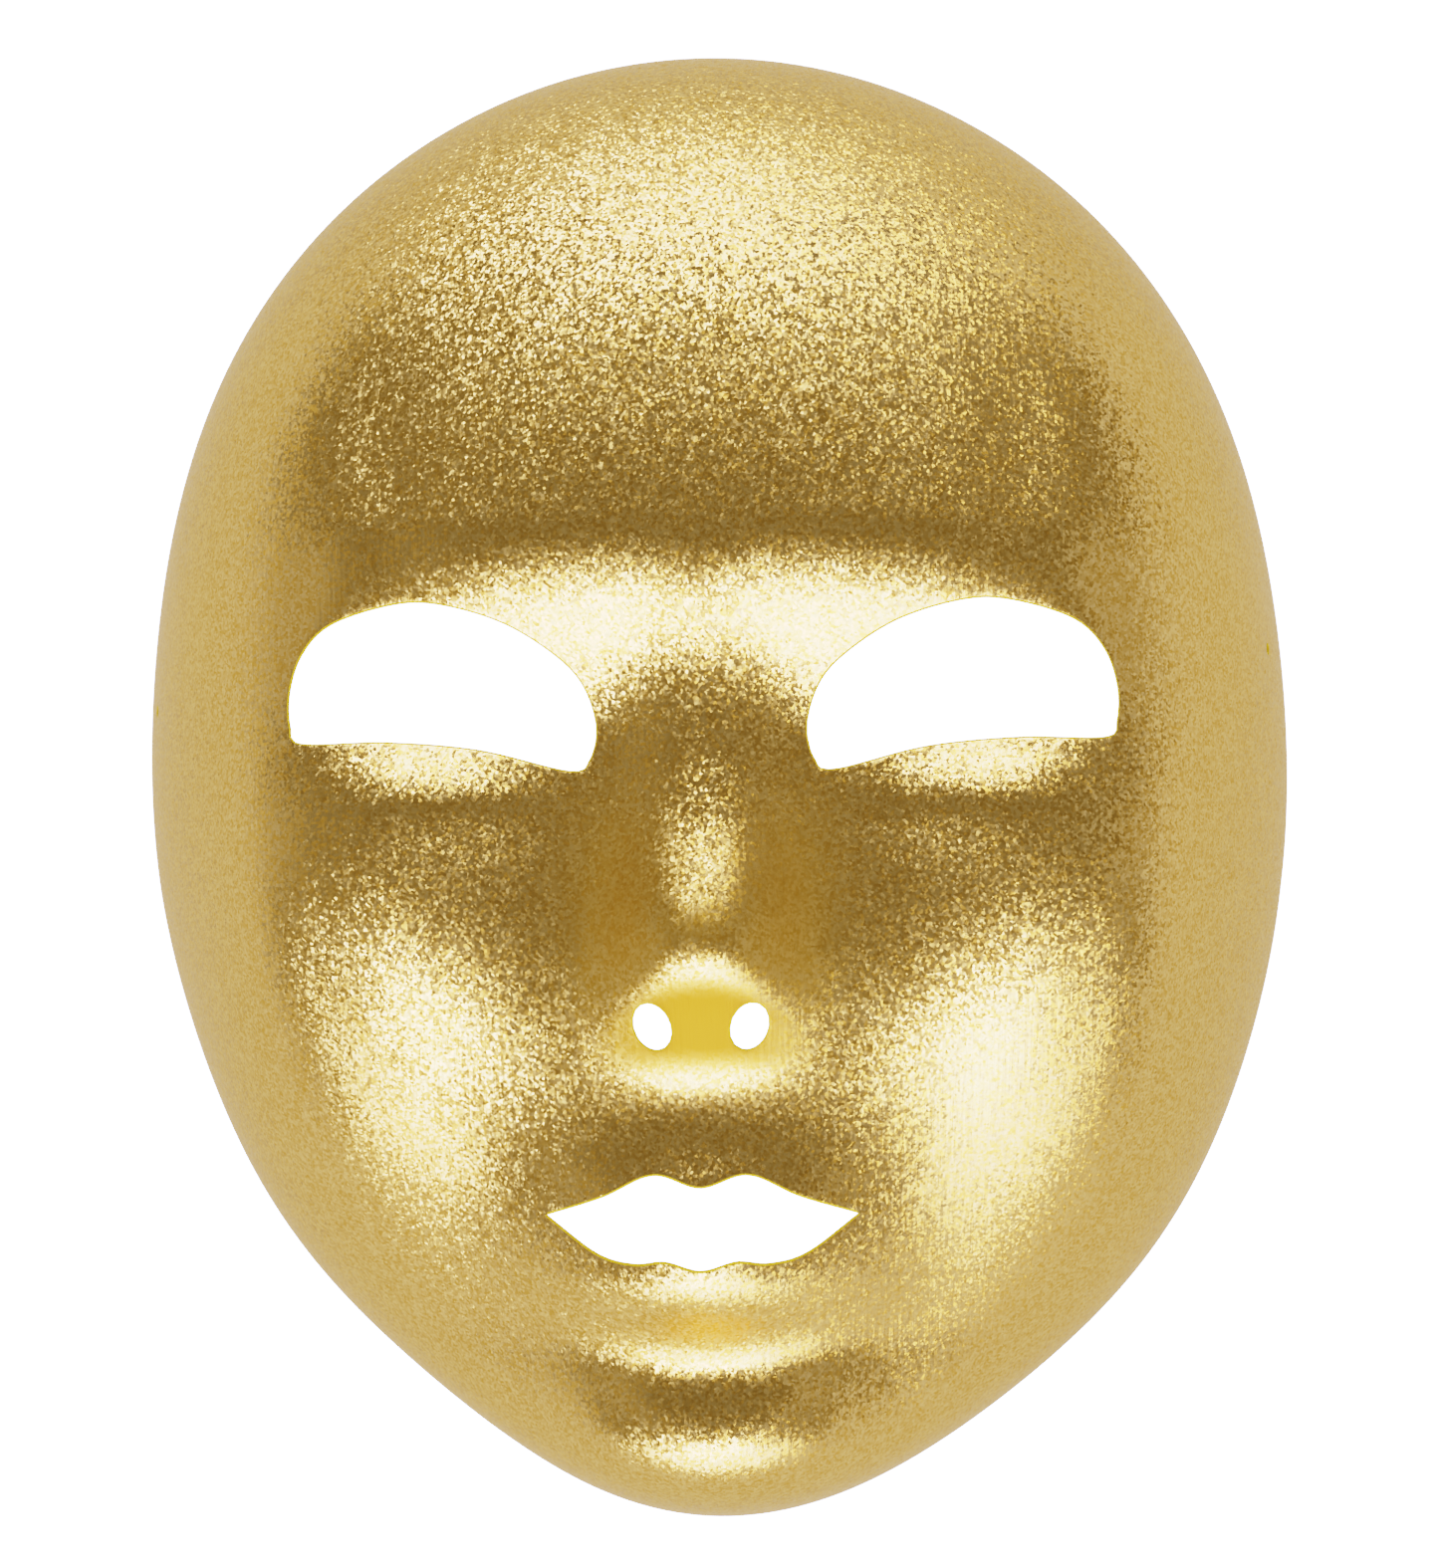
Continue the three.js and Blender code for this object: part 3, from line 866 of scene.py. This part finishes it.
    def edge_rows(
        self, outer: Array, inner: Array, normal: Array, reach: Array, edge: Array
    ) -> tuple[Array, Array, Array, Array]:
        """The cut edges: a quarter circle from the outer surface to the cut wall, and that wall's foot.

        Each border point has a way out, at right angles to the border and to the surface's normal, and a way
        up the cut wall. A row's points lie at radius (sin turn - 1) along the way out and radius
        (cos turn - 1) along the way up, so that the edge meets surface and wall without a crease.

        Args:
            outer: the outer surface's points.
            inner: the inner surface's points.
            normal: the way that each outer point faces.
            reach: the radius of the round edge at each point.
            edge: the border's edges.

        Returns:
            The outer points with the border drawn back by the radius, the new points, the outer point that
            each belongs to, and the faces of the cut edge.
        """
        total = len(outer)
        used = np.unique(edge)
        slot = np.zeros(total, int)
        slot[used] = np.arange(len(used))
        run = outer[edge[:, 1]] - outer[edge[:, 0]]
        out = np.zeros((total, 3))
        for end in (0, 1):
            np.add.at(out, edge[:, end], np.cross(run, normal[edge[:, end]]))
        out = out[used] / np.linalg.norm(out[used], axis=1, keepdims=True)
        wall = outer[used] - inner[used]
        wall = wall / np.linalg.norm(wall, axis=1, keepdims=True)
        radius = reach[used][:, None]
        turns = np.linspace(0.0, np.pi / 2.0, self.round_steps + 1)
        arcs = [outer[used] + radius * ((np.sin(t) - 1.0) * out + (np.cos(t) - 1.0) * wall) for t in turns]
        drawn = outer.copy()
        drawn[used] = arcs[0]
        new = 2 * total + np.arange(self.round_steps * len(used)).reshape(self.round_steps, -1)
        numbers = [used, *new, used + total]
        a, b = slot[edge[:, 0]], slot[edge[:, 1]]
        faces = [
            np.stack([upper[b], upper[a], lower[a], lower[b]], axis=-1)
            for upper, lower in zip(numbers[:-1], numbers[1:])
        ]
        return drawn, np.vstack(arcs[1:]), np.tile(used, self.round_steps), np.vstack(faces)

    def to_object(
        self, points: Array, faces: list[Array], finish: list[Layer], uv: Array
    ) -> bpy.types.Object:
        """Puts points and faces into a mesh, with a finish for each group of faces.

        Args:
            points: all points, in millimetres.
            faces: groups of faces, each an array of point numbers.
            finish: the finish of each group.
            uv: each point's place along the cloth, in millimetres.

        Returns:
            The new object, linked to the scene.
        """
        mesh = bpy.data.meshes.new("mask")
        loops = np.concatenate([group.ravel() for group in faces])
        sizes = np.concatenate([np.full(len(group), group.shape[1]) for group in faces])
        starts = np.concatenate([[0], sizes.cumsum()[:-1]])
        mesh.vertices.add(len(points))
        mesh.vertices.foreach_set("co", (points * MM).astype(np.float32).ravel())
        mesh.loops.add(len(loops))
        mesh.loops.foreach_set("vertex_index", loops.astype(np.int32))
        mesh.polygons.add(len(sizes))
        mesh.polygons.foreach_set("loop_start", starts.astype(np.int32))
        slots = np.concatenate([np.full(len(group), layer.value) for group, layer in zip(faces, finish)])
        mesh.polygons.foreach_set("material_index", slots.astype(np.int32))
        mesh.update(calc_edges=True)
        cloth = mesh.uv_layers.new(name="cloth")
        cloth.data.foreach_set("uv", (uv[loops] * MM).astype(np.float32).ravel())
        place = points[:, :2] + self.middle()
        # The tight share also paints reflection and shade into the cloth's colour.
        for name, values in (("tight_glow_and_shade", self.form.tight_glow_and_shade_share(place)), ("loose", self.form.looseness(place))):
            attribute = mesh.attributes.new(name, "FLOAT", "POINT")
            attribute.data.foreach_set("value", values.astype(np.float32))
        mesh.shade_smooth()
        mesh.set_sharp_from_angle(angle=np.radians(self.sharp_degrees))
        self.drop_loose(mesh)
        shell = bpy.data.objects.new("mask", mesh)
        bpy.context.scene.collection.objects.link(shell)
        return shell

    @staticmethod
    def drop_loose(mesh: bpy.types.Mesh) -> None:
        """Deletes the points inside the openings, which no face uses.

        Args:
            mesh: the mesh to clean.
        """
        work = bmesh.new()
        work.from_mesh(mesh)
        loose = [point for point in work.verts if not point.link_faces]
        bmesh.ops.delete(work, geom=loose, context="VERTS")
        work.to_mesh(mesh)
        work.free()


def linear(colour: str) -> tuple[float, float, float, float]:
    """Turns an sRGB hex colour into the linear values that a shader takes, by the sRGB standard's curve.

    Args:
        colour: the colour, as in "#D7A24B".

    Returns:
        Red, green, blue and an alpha of 1.
    """
    parts = (int(colour[k : k + 2], 16) / 255.0 for k in (1, 3, 5))
    red, green, blue = (c / 12.92 if c <= 0.04045 else ((c + 0.055) / 1.055) ** 2.4 for c in parts)
    return red, green, blue, 1.0


def add_node(
    tree: bpy.types.NodeTree, kind: str, inputs: dict | None = None, **settings: object
) -> bpy.types.Node:
    """Adds a node, with its settings and its links.

    Args:
        tree: the material's node tree.
        kind: the node's Blender type.
        inputs: for each input socket by name or number, a value or an output socket to link from.
        settings: the node's own properties.

    Returns:
        The node.
    """
    node = tree.nodes.new(kind)
    for name, value in settings.items():
        setattr(node, name, value)
    for socket, value in (inputs or {}).items():
        if isinstance(value, bpy.types.NodeSocket):
            tree.links.new(value, node.inputs[socket])
        else:
            node.inputs[socket].default_value = value
    return node


def new_material(name: str) -> tuple[bpy.types.Material, bpy.types.NodeTree]:
    """A material with an empty node tree.

    Args:
        name: its name.

    Returns:
        The material and its tree.
    """
    material = bpy.data.materials.new(name)
    material.use_nodes = True
    material.node_tree.nodes.clear()
    return material, material.node_tree


def mixed(tree: bpy.types.NodeTree, share: object, low: object, high: object) -> bpy.types.NodeSocket:
    """Adds a mix of two colours or of two values, each given as a value or an output socket.

    Args:
        tree: the node tree.
        share: how much of high the mix has.
        low: the colour, as four values or a colour socket, or the single value that the mix starts from.
        high: what it goes to, of the same kind.

    Returns:
        The socket that the mix comes out of.
    """
    if isinstance(high, tuple):
        return add_node(tree, "ShaderNodeMix", {0: share, 6: low, 7: high}, data_type="RGBA").outputs[2]
    return add_node(tree, "ShaderNodeMix", {0: share, 2: low, 3: high}, data_type="FLOAT").outputs[0]


@dataclass(frozen=True)
class GoldLame:
    """Gold lame: a knitted cloth faced with metal foil, bonded flat.

    The foil is crumpled by the stitches under it, so each stitch mirrors the light its own way and the cloth
    sparkles. Where the cloth was drawn tight over the form it is smoother, and its colour there is darker
    and
    yellower: painted reflection, the yellow that gold throws on gold under the nose and the lower lip, and
    painted shade down the sides of the nose.
    """

    gold: str = "#D7A24B"
    pale: str = "#F6CC82"
    # Painted colour where the cloth is tight: the yellow reflection under the nose and lower lip, and the
    # shade down the nose's sides.
    tight_glow_and_shade: str = "#AF8226"
    edge: str = "#FFF2CC"
    roughness: float = 0.28
    tight_roughness: float = 0.6
    stitch_mm: float = 0.38
    stitch_tilt: float = 0.28
    rib_mm: float = 0.8
    rib_long_mm: float = 9.0
    rib_detail: float = 2.0
    rib_height_mm: float = 0.06
    lacquer: float = 0.12
    lacquer_roughness: float = 0.35

    def build(self) -> bpy.types.Material:
        """Makes the material: a random tilt and tone for each stitch, and faint ribs along the cloth.

        Returns:
            The material.
        """
        material, tree = new_material("gold_lame")
        add = partial(add_node, tree)
        place = add("ShaderNodeTexCoord").outputs["Object"]
        stitches = add("ShaderNodeTexVoronoi", {"Vector": place, "Scale": 1.0 / (self.stitch_mm * MM)})
        stitch = stitches.outputs["Color"]
        tight_glow_and_shade = add("ShaderNodeAttribute", attribute_name="tight_glow_and_shade").outputs["Fac"]
        loose = add("ShaderNodeAttribute", attribute_name="loose").outputs["Fac"]
        free = add("ShaderNodeMath", {0: 1.0, 1: tight_glow_and_shade}, operation="SUBTRACT").outputs[0]
        uneven = add("ShaderNodeMath", {0: loose, 1: free}, operation="MULTIPLY").outputs[0]
        tilt = add("ShaderNodeMath", {0: uneven, 1: self.stitch_tilt}, operation="MULTIPLY").outputs[0]
        half = (0.5, 0.5, 0.5)
        centred = add("ShaderNodeVectorMath", {0: stitch, 1: half}, operation="SUBTRACT").outputs[0]
        lean = add("ShaderNodeVectorMath", {0: centred, "Scale": tilt}, operation="SCALE").outputs[0]
        cloth = add("ShaderNodeUVMap", uv_map="cloth").outputs[0]
        rib = (1.0 / (self.rib_mm * MM), 1.0 / (self.rib_long_mm * MM), 1.0)
        stretched = add("ShaderNodeMapping", {"Vector": cloth, "Scale": rib}).outputs[0]
        noise = {"Vector": stretched, "Scale": 1.0, "Detail": self.rib_detail}
        ribs = add("ShaderNodeTexNoise", noise).outputs[0]
        raised = {"Height": ribs, "Distance": self.rib_height_mm * MM, "Strength": 1.0}
        ribbed = add("ShaderNodeBump", raised).outputs[0]
        added = add("ShaderNodeVectorMath", {0: ribbed, 1: lean}, operation="ADD").outputs[0]
        facing = add("ShaderNodeVectorMath", {0: added}, operation="NORMALIZE").outputs[0]
        tone = add("ShaderNodeSeparateColor", {0: stitch}).outputs[0]
        foil = mixed(tree, tone, linear(self.gold), linear(self.pale))
        # Where the cloth is tight, the base colour goes over to the painted reflection and painted shade.
        shader = add(
            "ShaderNodeBsdfPrincipled",
            {
                "Base Color": mixed(tree, tight_glow_and_shade, foil, linear(self.tight_glow_and_shade)),
                "Metallic": 1.0,
                "Specular Tint": linear(self.edge),
                "Roughness": mixed(tree, tight_glow_and_shade, self.roughness, self.tight_roughness),
                "Normal": facing,
                "Coat Weight": self.lacquer,
                "Coat Roughness": self.lacquer_roughness,
            },
        )
        add("ShaderNodeOutputMaterial", {"Surface": shader.outputs[0]})
        return material


@dataclass(frozen=True)
class BackingSheet:
    """Stiff yellow backing, felted fibres pressed into a sheet: matt, with a shallow grain."""

    name: str
    colour: str
    shade: str
    roughness: float = 0.75
    grain_mm: float = 0.9
    grain_detail: float = 3.0
    grain_height_mm: float = 0.08

    def build(self) -> bpy.types.Material:
        """Makes the material: two near tones of yellow and a shallow grain, from one noise.

        Returns:
            The material.
        """
        material, tree = new_material(self.name)
        add = partial(add_node, tree)
        place = add("ShaderNodeTexCoord").outputs["Object"]
        noise = {"Vector": place, "Scale": 1.0 / (self.grain_mm * MM), "Detail": self.grain_detail}
        grain = add("ShaderNodeTexNoise", noise).outputs[0]
        rough = add("ShaderNodeBump", {"Height": grain, "Distance": self.grain_height_mm * MM}).outputs[0]
        colour = mixed(tree, grain, linear(self.colour), linear(self.shade))
        look = {"Base Color": colour, "Roughness": self.roughness, "Normal": rough}
        shader = add("ShaderNodeBsdfPrincipled", look)
        add("ShaderNodeOutputMaterial", {"Surface": shader.outputs[0]})
        return material


@dataclass(frozen=True)
class PaleTable:
    """A white table in a white room. It shows no shadow, because what the eye sees of it is overexposed."""

    lit_half: float = 2.0
    shown_half: float = 30.0
    gap_mm: float = 0.1
    shown: float = 14.0
    lit: float = 1.55

    def sheet(
        self, name: str, half: float, height: float, strength: float, to_camera: bool
    ) -> bpy.types.Object:
        """A glowing square that either the camera sees or the mask mirrors.

        Args:
            name: its name, also its material's.
            half: half its width, in metres.
            height: how high it lies, in metres.
            strength: how brightly it glows.
            to_camera: whether the camera sees it, and not the mask.

        Returns:
            The square.
        """
        material, tree = new_material(name)
        glow = add_node(tree, "ShaderNodeEmission", {"Strength": strength})
        add_node(tree, "ShaderNodeOutputMaterial", {"Surface": glow.outputs[0]})
        mesh = bpy.data.meshes.new(name)
        corners = [(-half, -half), (half, -half), (half, half), (-half, half)]
        mesh.from_pydata([(x, y, height) for x, y in corners], [], [(0, 1, 2, 3)])
        mesh.materials.append(material)
        square = bpy.data.objects.new(name, mesh)
        square.visible_camera = to_camera
        square.visible_glossy = square.visible_diffuse = not to_camera
        bpy.context.scene.collection.objects.link(square)
        return square

    def build(self) -> list[bpy.types.Object]:
        """Lays the table.

        Returns:
            The sheet that the camera sees, and the one under it that lights the mask.
        """
        shown = self.sheet("white_table", self.shown_half, -self.gap_mm * MM, self.shown, True)
        lit = self.sheet("table_light", self.lit_half, -2.0 * self.gap_mm * MM, self.lit, False)
        return [shown, lit]


@dataclass(frozen=True)
class Film:
    """How bright light turns into a picture: shadows deepen a little and highlights pale slowly to white.

    The curve is x^contrast / (1 + x^contrast) for each colour, up to the brightest light it takes. Before
    it, blue light goes through a curve of its own: less in the shadows and more in the highlights.
    """

    contrast: float = 1.35
    brightest: float = 10.0
    points: tuple[float, ...] = (0.05, 0.1, 0.2, 0.35, 0.6, 1.0, 1.6, 2.5, 4.0, 6.0, 8.0)
    blue: tuple[Pair, ...] = (
        (0.08, 0.063), (0.12, 0.105), (0.24, 0.254), (0.4, 0.41),
        (0.78, 0.82), (1.05, 1.3), (2.0, 2.7), (4.0, 5.2),
    )

    def load(self) -> None:
        """Sets the scene's view curve."""
        view = bpy.context.scene.view_settings
        view.view_transform = "Standard"
        view.look = "None"
        view.exposure = 0.0
        view.gamma = 1.0
        view.use_curve_mapping = True
        mapping = view.curve_mapping
        mapping.white_level = (self.brightest,) * 3
        only_blue, every = mapping.curves[2], mapping.curves[3]
        for light in self.points:
            powered = light**self.contrast
            every.points.new(light / self.brightest, powered / (1.0 + powered))
        for before, after in self.blue:
            only_blue.points.new(before / self.brightest, after / self.brightest)
        mapping.update()


@dataclass(frozen=True)
class SoftBox:
    """One rectangular studio light, in metres and watts, turned to the mask."""

    name: str
    place: tuple[float, float, float]
    wide: float
    tall: float
    power: float

    def build(self, target: Vector) -> None:
        """Hangs the light.

        Args:
            target: the point that it is turned to, in metres.
        """
        lamp = bpy.data.lights.new(self.name, "AREA")
        lamp.shape = "RECTANGLE"
        lamp.size, lamp.size_y, lamp.energy = self.wide, self.tall, self.power
        box = bpy.data.objects.new(self.name, lamp)
        box.location = self.place
        box.rotation_euler = (target - Vector(self.place)).to_track_quat("-Z", "Y").to_euler()
        bpy.context.scene.collection.objects.link(box)


@dataclass(frozen=True)
class Studio:
    """The table, the white room, the soft lights and the camera over the lying mask."""

    table: PaleTable = PaleTable()
    film: Film = Film()
    lights: tuple[SoftBox, ...] = (
        SoftBox("above_forehead", (0.0, 1.03, 0.75), 1.3, 0.5, 19.0),
        SoftBox("above_chin", (0.0, -0.86, 0.94), 1.4, 0.5, 29.0),
        SoftBox("low_forehead", (0.0, 1.22, 0.30), 1.5, 0.6, 18.0),
        SoftBox("low_chin", (0.0, -1.16, 0.47), 2.6, 0.6, 36.0),
        SoftBox("side_left", (-1.2, 0.0, 0.5), 0.8, 1.0, 1.6),
        SoftBox("side_right", (1.2, 0.0, 0.5), 0.8, 1.0, 1.6),
    )
    lit_height: float = 0.05
    room_light: float = 0.37
    image: tuple[int, int] = (1441, 1575)
    rim_wide_mm: float = 170.0
    rim_wide_px: float = 1141.0
    rim_middle_px: tuple[float, float] = (722.0, 790.5)
    camera_side_mm: float = 44.0
    camera_high_mm: float = 1200.0
    roll_degrees: float = 0.5
    sensor_mm: float = 36.0

    def build(self, middle: Array) -> None:
        """Sets the stage.

        Args:
            middle: the middle of the rim's box, in the millimetres that the face form is drawn in.
        """
        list(self.table.build())
        self.film.load()
        for light in self.lights:
            light.build(Vector((0.0, 0.0, self.lit_height)))
        self.room()
        self.camera(middle)

    def room(self) -> None:
        """The white room: it lights the mask softly, and seen directly it is overexposed to white."""
        world = bpy.data.worlds.new("room")
        bpy.context.scene.world = world
        world.use_nodes = True
        tree = world.node_tree
        tree.nodes.clear()
        seen = add_node(tree, "ShaderNodeLightPath").outputs["Is Camera Ray"]
        strength = mixed(tree, seen, self.room_light, self.table.shown)
        glow = add_node(tree, "ShaderNodeBackground", {"Color": linear("#FFFFFF"), "Strength": strength})
        add_node(tree, "ShaderNodeOutputWorld", {"Surface": glow.outputs[0]})

    def camera(self, middle: Array) -> None:
        """Hangs the camera over the mask, a little to its side, and frames the photograph's view.

        The picture's middle falls on the rim's plane where it does in the photograph, at the scale that
        makes the rim as wide as it is there.

        Args:
            middle: the middle of the rim's box, in the millimetres that the face form is drawn in.
        """
        wide, tall = self.image
        scale = self.rim_wide_mm / self.rim_wide_px
        rim_x, rim_y = self.rim_middle_px
        aim = np.array([wide / 2.0 - rim_x, rim_y - tall / 2.0]) * scale - middle
        place = np.array([self.camera_side_mm, 0.0]) - middle
        target = Vector((aim[0] * MM, aim[1] * MM, 0.0))
        data = bpy.data.cameras.new("camera")
        camera = bpy.data.objects.new("camera", data)
        bpy.context.scene.collection.objects.link(camera)
        bpy.context.scene.camera = camera
        camera.location = (place[0] * MM, place[1] * MM, self.camera_high_mm * MM)
        ahead = (target - camera.location).normalized()
        right = ahead.cross(Vector((0.0, 1.0, 0.0))).normalized()
        up = right.cross(ahead)
        level = Matrix((right, up, -ahead)).transposed()
        roll = Matrix.Rotation(np.radians(-self.roll_degrees), 3, "Z")
        camera.rotation_mode = "QUATERNION"
        camera.rotation_quaternion = (level @ roll).to_quaternion()
        data.sensor_fit, data.sensor_width = "AUTO", self.sensor_mm
        data.lens = self.sensor_mm * (target - camera.location).length / (tall * scale * MM)


def main() -> None:
    """Builds the mask, dresses it, and sets the stage, lights and camera."""
    logging.basicConfig(level=logging.INFO, format="%(name)s: %(message)s")
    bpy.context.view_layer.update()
    shell = MaskShell()
    mask = shell.build()
    finishes = {
        Layer.LAME: GoldLame(),
        Layer.CUT: BackingSheet("yellow_cut_edge", "#D8B400", "#C8A000"),
        Layer.BACKING: BackingSheet("yellow_backing", "#D9BE55", "#C9AC42"),
    }
    for layer in Layer:
        mask.data.materials.append(finishes[layer].build())
    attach(mask, "root")
    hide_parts(NODE)
    LOG.info("%s: %d faces", mask.name, len(mask.data.polygons))
    Studio().build(shell.middle())


if __name__ == "__main__":
    main()
